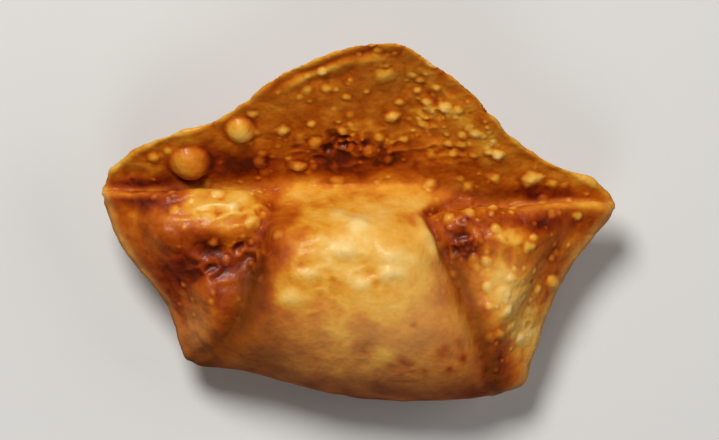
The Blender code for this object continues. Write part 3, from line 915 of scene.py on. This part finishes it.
# How dry the skin is, from 0 where oil stands on it to 1: the pale parts, the creases, the
# wing tips' raw edges, a place behind each ear, and the top of the left valley.
foot_crease = ridge_line(above_foot, 0.0, 0.9) * (1.0 - on_tips) * on_front
dry = 0.3 * dome_share * (1.0 - flap_share) + foot_crease + 0.7 * ear_valley + 0.6 * flour_and_shade
dry += 0.7 * ridge_line(from_right_ear, 0.5, 1.4) + 0.8 * ridge_line(raw_edges, 0.0, 1.2) * on_tips
dry += 0.7 * bump(plan_x, plan_y, (-28.5, 28.6), 5.5, 1.5)
dry += 0.7 * bump(plan_x, plan_y, (15.0, 28.4), 4.5, 1.2)
dry += 0.6 * bump(plan_x, plan_y, (-14.4, 24.2), 1.8, 3.2)
dry = np.clip(dry, 0.0, 1.0)

skin.vertices.foreach_set("co", settled.ravel())
skin.update()
for name, values in (("toast_and_painted_light", toast_and_painted_light), ("flour_and_shade", flour_and_shade), ("painted_shade", painted_shade), ("dry", dry)):
    layer = skin.attributes.new(name, "FLOAT", "POINT")
    layer.data.foreach_set("value", values.astype(np.float32))

# The mesh is thinned where it is flattest, while it is still in millimetres.
MOST_TRIANGLES = 190000
skin.calc_loop_triangles()
thin = rangoon.modifiers.new("thin", "DECIMATE")
thin.ratio = MOST_TRIANGLES / len(skin.loop_triangles)
bpy.ops.object.modifier_apply(modifier=thin.name)
skin = rangoon.data
skin.transform(Matrix.Scale(MM, 4))
skin.update()
skin.shade_smooth()

# The colour of fried dough, from pale to burnt.
PALE_TO_BURNT = (
    (0.00, (0.80, 0.56, 0.21)),
    (0.18, (0.75, 0.445, 0.098)),
    (0.36, (0.68, 0.315, 0.026)),
    (0.50, (0.56, 0.168, 0.009)),
    (0.64, (0.43, 0.090, 0.003)),
    (0.78, (0.29, 0.042, 0.0015)),
    (0.90, (0.18, 0.017, 0.001)),
    (1.00, (0.08, 0.008, 0.001)),
)
# The pale tint: dusted flour, and on the dome's lower part and right side painted shade.
FLOUR_AND_SHADE_TINT = (0.58, 0.39, 0.125)
# The colour of the painted shade in the folds: a dark olive brown.
PAINTED_SHADE_COLOUR = (0.15, 0.037, 0.001)
GRAIN_SCALE = 1400.0
GRAIN_CONTRAST = 0.18
PIMPLE_SCALE = 1300.0
OIL_PATCH_SCALE = 260.0
ROUGHNESS_IN_OIL = 0.33
ROUGHNESS_BETWEEN = 0.50
ROUGHER_WHEN_DRY = 0.4


def fried_skin():
    """Fried dough: colour by browning and painted light and shade, oil in patches, and fine grain.
    """
    material = bpy.data.materials.new("fried_wonton_skin")
    material.use_nodes = True
    tree = material.node_tree
    shader = tree.nodes["Principled BSDF"]

    def add(kind, **values):
        node = tree.nodes.new(kind)
        for key, value in values.items():
            setattr(node, key, value)
        return node

    def link(start, end):
        tree.links.new(start, end)

    def noise(scale, detail, roughness=0.5):
        node = add("ShaderNodeTexNoise")
        node.inputs["Scale"].default_value = scale
        node.inputs["Detail"].default_value = detail
        node.inputs["Roughness"].default_value = roughness
        link(where.outputs["Object"], node.inputs["Vector"])
        return node

    where = add("ShaderNodeTexCoord")
    toast_and_light_node = add("ShaderNodeAttribute", attribute_name="toast_and_painted_light")
    flour_and_shade_node = add("ShaderNodeAttribute", attribute_name="flour_and_shade")

    grain = noise(GRAIN_SCALE, 4.0, 0.6)
    shade = add("ShaderNodeMath", operation="MULTIPLY_ADD")
    shade.inputs[1].default_value = GRAIN_CONTRAST
    link(grain.outputs["Fac"], shade.inputs[0])
    lowered = add("ShaderNodeMath", operation="SUBTRACT")
    lowered.inputs[1].default_value = 0.5 * GRAIN_CONTRAST
    link(toast_and_light_node.outputs["Fac"], lowered.inputs[0])
    link(lowered.outputs[0], shade.inputs[2])
    ramp = add("ShaderNodeValToRGB")
    while len(ramp.color_ramp.elements) < len(PALE_TO_BURNT):
        ramp.color_ramp.elements.new(0.5)
    for element, (place, colour) in zip(ramp.color_ramp.elements, PALE_TO_BURNT):
        element.position = place
        element.color = (*colour, 1.0)
    link(shade.outputs[0], ramp.inputs["Fac"])
    dusted_and_shaded = add("ShaderNodeMix", data_type="RGBA")
    link(flour_and_shade_node.outputs["Fac"], dusted_and_shaded.inputs["Factor"])
    link(ramp.outputs["Color"], dusted_and_shaded.inputs["A"])
    dusted_and_shaded.inputs["B"].default_value = (*FLOUR_AND_SHADE_TINT, 1.0)
    # Painted shade: the dark olive tint mixed in where the folds and the dome's foot are in shade.
    painted_shade_node = add("ShaderNodeAttribute", attribute_name="painted_shade")
    painted_shade_mix = add("ShaderNodeMix", data_type="RGBA")
    link(painted_shade_node.outputs["Fac"], painted_shade_mix.inputs["Factor"])
    link(dusted_and_shaded.outputs["Result"], painted_shade_mix.inputs["A"])
    painted_shade_mix.inputs["B"].default_value = (*PAINTED_SHADE_COLOUR, 1.0)
    link(painted_shade_mix.outputs["Result"], shader.inputs["Base Color"])

    oil = noise(OIL_PATCH_SCALE, 3.0)
    gloss = add("ShaderNodeMapRange")
    gloss.inputs["From Min"].default_value = 0.3
    gloss.inputs["From Max"].default_value = 0.7
    gloss.inputs["To Min"].default_value = ROUGHNESS_IN_OIL
    gloss.inputs["To Max"].default_value = ROUGHNESS_BETWEEN
    link(oil.outputs["Fac"], gloss.inputs["Value"])
    dried = add("ShaderNodeAttribute", attribute_name="dry")
    dulled = add("ShaderNodeMath", operation="MULTIPLY_ADD")
    dulled.inputs[1].default_value = ROUGHER_WHEN_DRY
    link(dried.outputs["Fac"], dulled.inputs[0])
    link(gloss.outputs["Result"], dulled.inputs[2])
    link(dulled.outputs[0], shader.inputs["Roughness"])

    pimples = add("ShaderNodeTexVoronoi")
    pimples.inputs["Scale"].default_value = PIMPLE_SCALE
    link(where.outputs["Object"], pimples.inputs["Vector"])
    pimpled = add("ShaderNodeBump")
    pimpled.inputs["Strength"].default_value = 0.3
    pimpled.inputs["Distance"].default_value = 0.0002
    pimpled.invert = True
    link(pimples.outputs["Distance"], pimpled.inputs["Height"])
    grainy = add("ShaderNodeBump")
    grainy.inputs["Strength"].default_value = 0.5
    grainy.inputs["Distance"].default_value = 0.00015
    link(grain.outputs["Fac"], grainy.inputs["Height"])
    link(pimpled.outputs["Normal"], grainy.inputs["Normal"])
    link(grainy.outputs["Normal"], shader.inputs["Normal"])

    shader.inputs["Specular IOR Level"].default_value = 0.19
    shader.inputs["Coat Weight"].default_value = 0.08
    shader.inputs["Coat Roughness"].default_value = 0.12
    shader.inputs["Subsurface Weight"].default_value = 0.18
    shader.inputs["Subsurface Radius"].default_value = (1.0, 0.35, 0.10)
    shader.inputs["Subsurface Scale"].default_value = 0.0009
    return material


skin.materials.clear()
skin.materials.append(fried_skin())
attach(rangoon, "root")
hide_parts("crab_rangoon")


# The floor: a plain pale surface, 3 m square, that the piece lies on. The oily dough doesn't
# mirror it.

FLOOR_HALF = 1.5
FLOOR_COLOUR = (0.62, 0.64, 0.66)
floor_mesh = bpy.data.meshes.new("floor")
corners = [
    (sx * FLOOR_HALF, sy * FLOOR_HALF, 0.0)
    for sx, sy in ((-1, -1), (1, -1), (1, 1), (-1, 1))
]
floor_mesh.from_pydata(corners, [], [(0, 1, 2, 3)])
floor = bpy.data.objects.new("floor", floor_mesh)
bpy.context.scene.collection.objects.link(floor)
paint = bpy.data.materials.new("pale_floor")
paint.use_nodes = True
shader = paint.node_tree.nodes["Principled BSDF"]
shader.inputs["Base Color"].default_value = (*FLOOR_COLOUR, 1.0)
shader.inputs["Roughness"].default_value = 0.7
floor_mesh.materials.append(paint)
floor.visible_glossy = False


# The lights: a soft key from behind the flap's apex, a little to the left, and two weaker
# softboxes, from the right and from the front, that don't shine in the oily dough.

WARM_WHITE = (1.0, 0.95, 0.88)


def softbox(name, place, size, power, shines):
    """A round softbox aimed at the piece. shines is whether the oily dough mirrors it."""
    lamp = bpy.data.lights.new(name, "AREA")
    lamp.shape = "DISK"
    lamp.size = size
    lamp.energy = power
    lamp.color = WARM_WHITE
    light = bpy.data.objects.new(name, lamp)
    light.location = place
    light.rotation_euler = (-Vector(place)).to_track_quat("-Z", "Y").to_euler()
    light.visible_glossy = shines
    bpy.context.scene.collection.objects.link(light)


softbox("key", (-0.18, 0.40, 0.70), 0.30, 6.8, True)
softbox("side", (0.70, 0.15, 0.50), 0.5, 1.6, False)
softbox("front", (-0.10, -0.55, 0.65), 0.5, 1.3, False)
world = bpy.data.worlds.new("studio")
world.use_nodes = True
world.node_tree.nodes["Background"].inputs["Color"].default_value = (1.0, 0.99, 0.97, 1.0)
world.node_tree.nodes["Background"].inputs["Strength"].default_value = 0.03
bpy.context.scene.world = world


# The camera: straight overhead, a metre up, with a long lens. It looks at VIEW_CENTRE, a place
# on the piece in millimetres, and the piece fills most of the view's width.

CAMERA_HEIGHT = 1.0
VIEW_WIDTH = 0.1044
VIEW_LEVEL = 0.010
VIEW_CENTRE = (0.0, 25.5)
SENSOR_WIDTH = 36.0
eye = bpy.data.cameras.new("overhead")
eye.sensor_width = SENSOR_WIDTH
eye.lens = eye.sensor_width * (CAMERA_HEIGHT - VIEW_LEVEL) / VIEW_WIDTH
camera = bpy.data.objects.new("overhead", eye)
camera.location = (
    (VIEW_CENTRE[0] + shift[0]) * MM,
    (VIEW_CENTRE[1] + shift[1]) * MM,
    CAMERA_HEIGHT,
)
bpy.context.scene.collection.objects.link(camera)
bpy.context.scene.camera = camera
bpy.context.scene.view_settings.view_transform = "Standard"
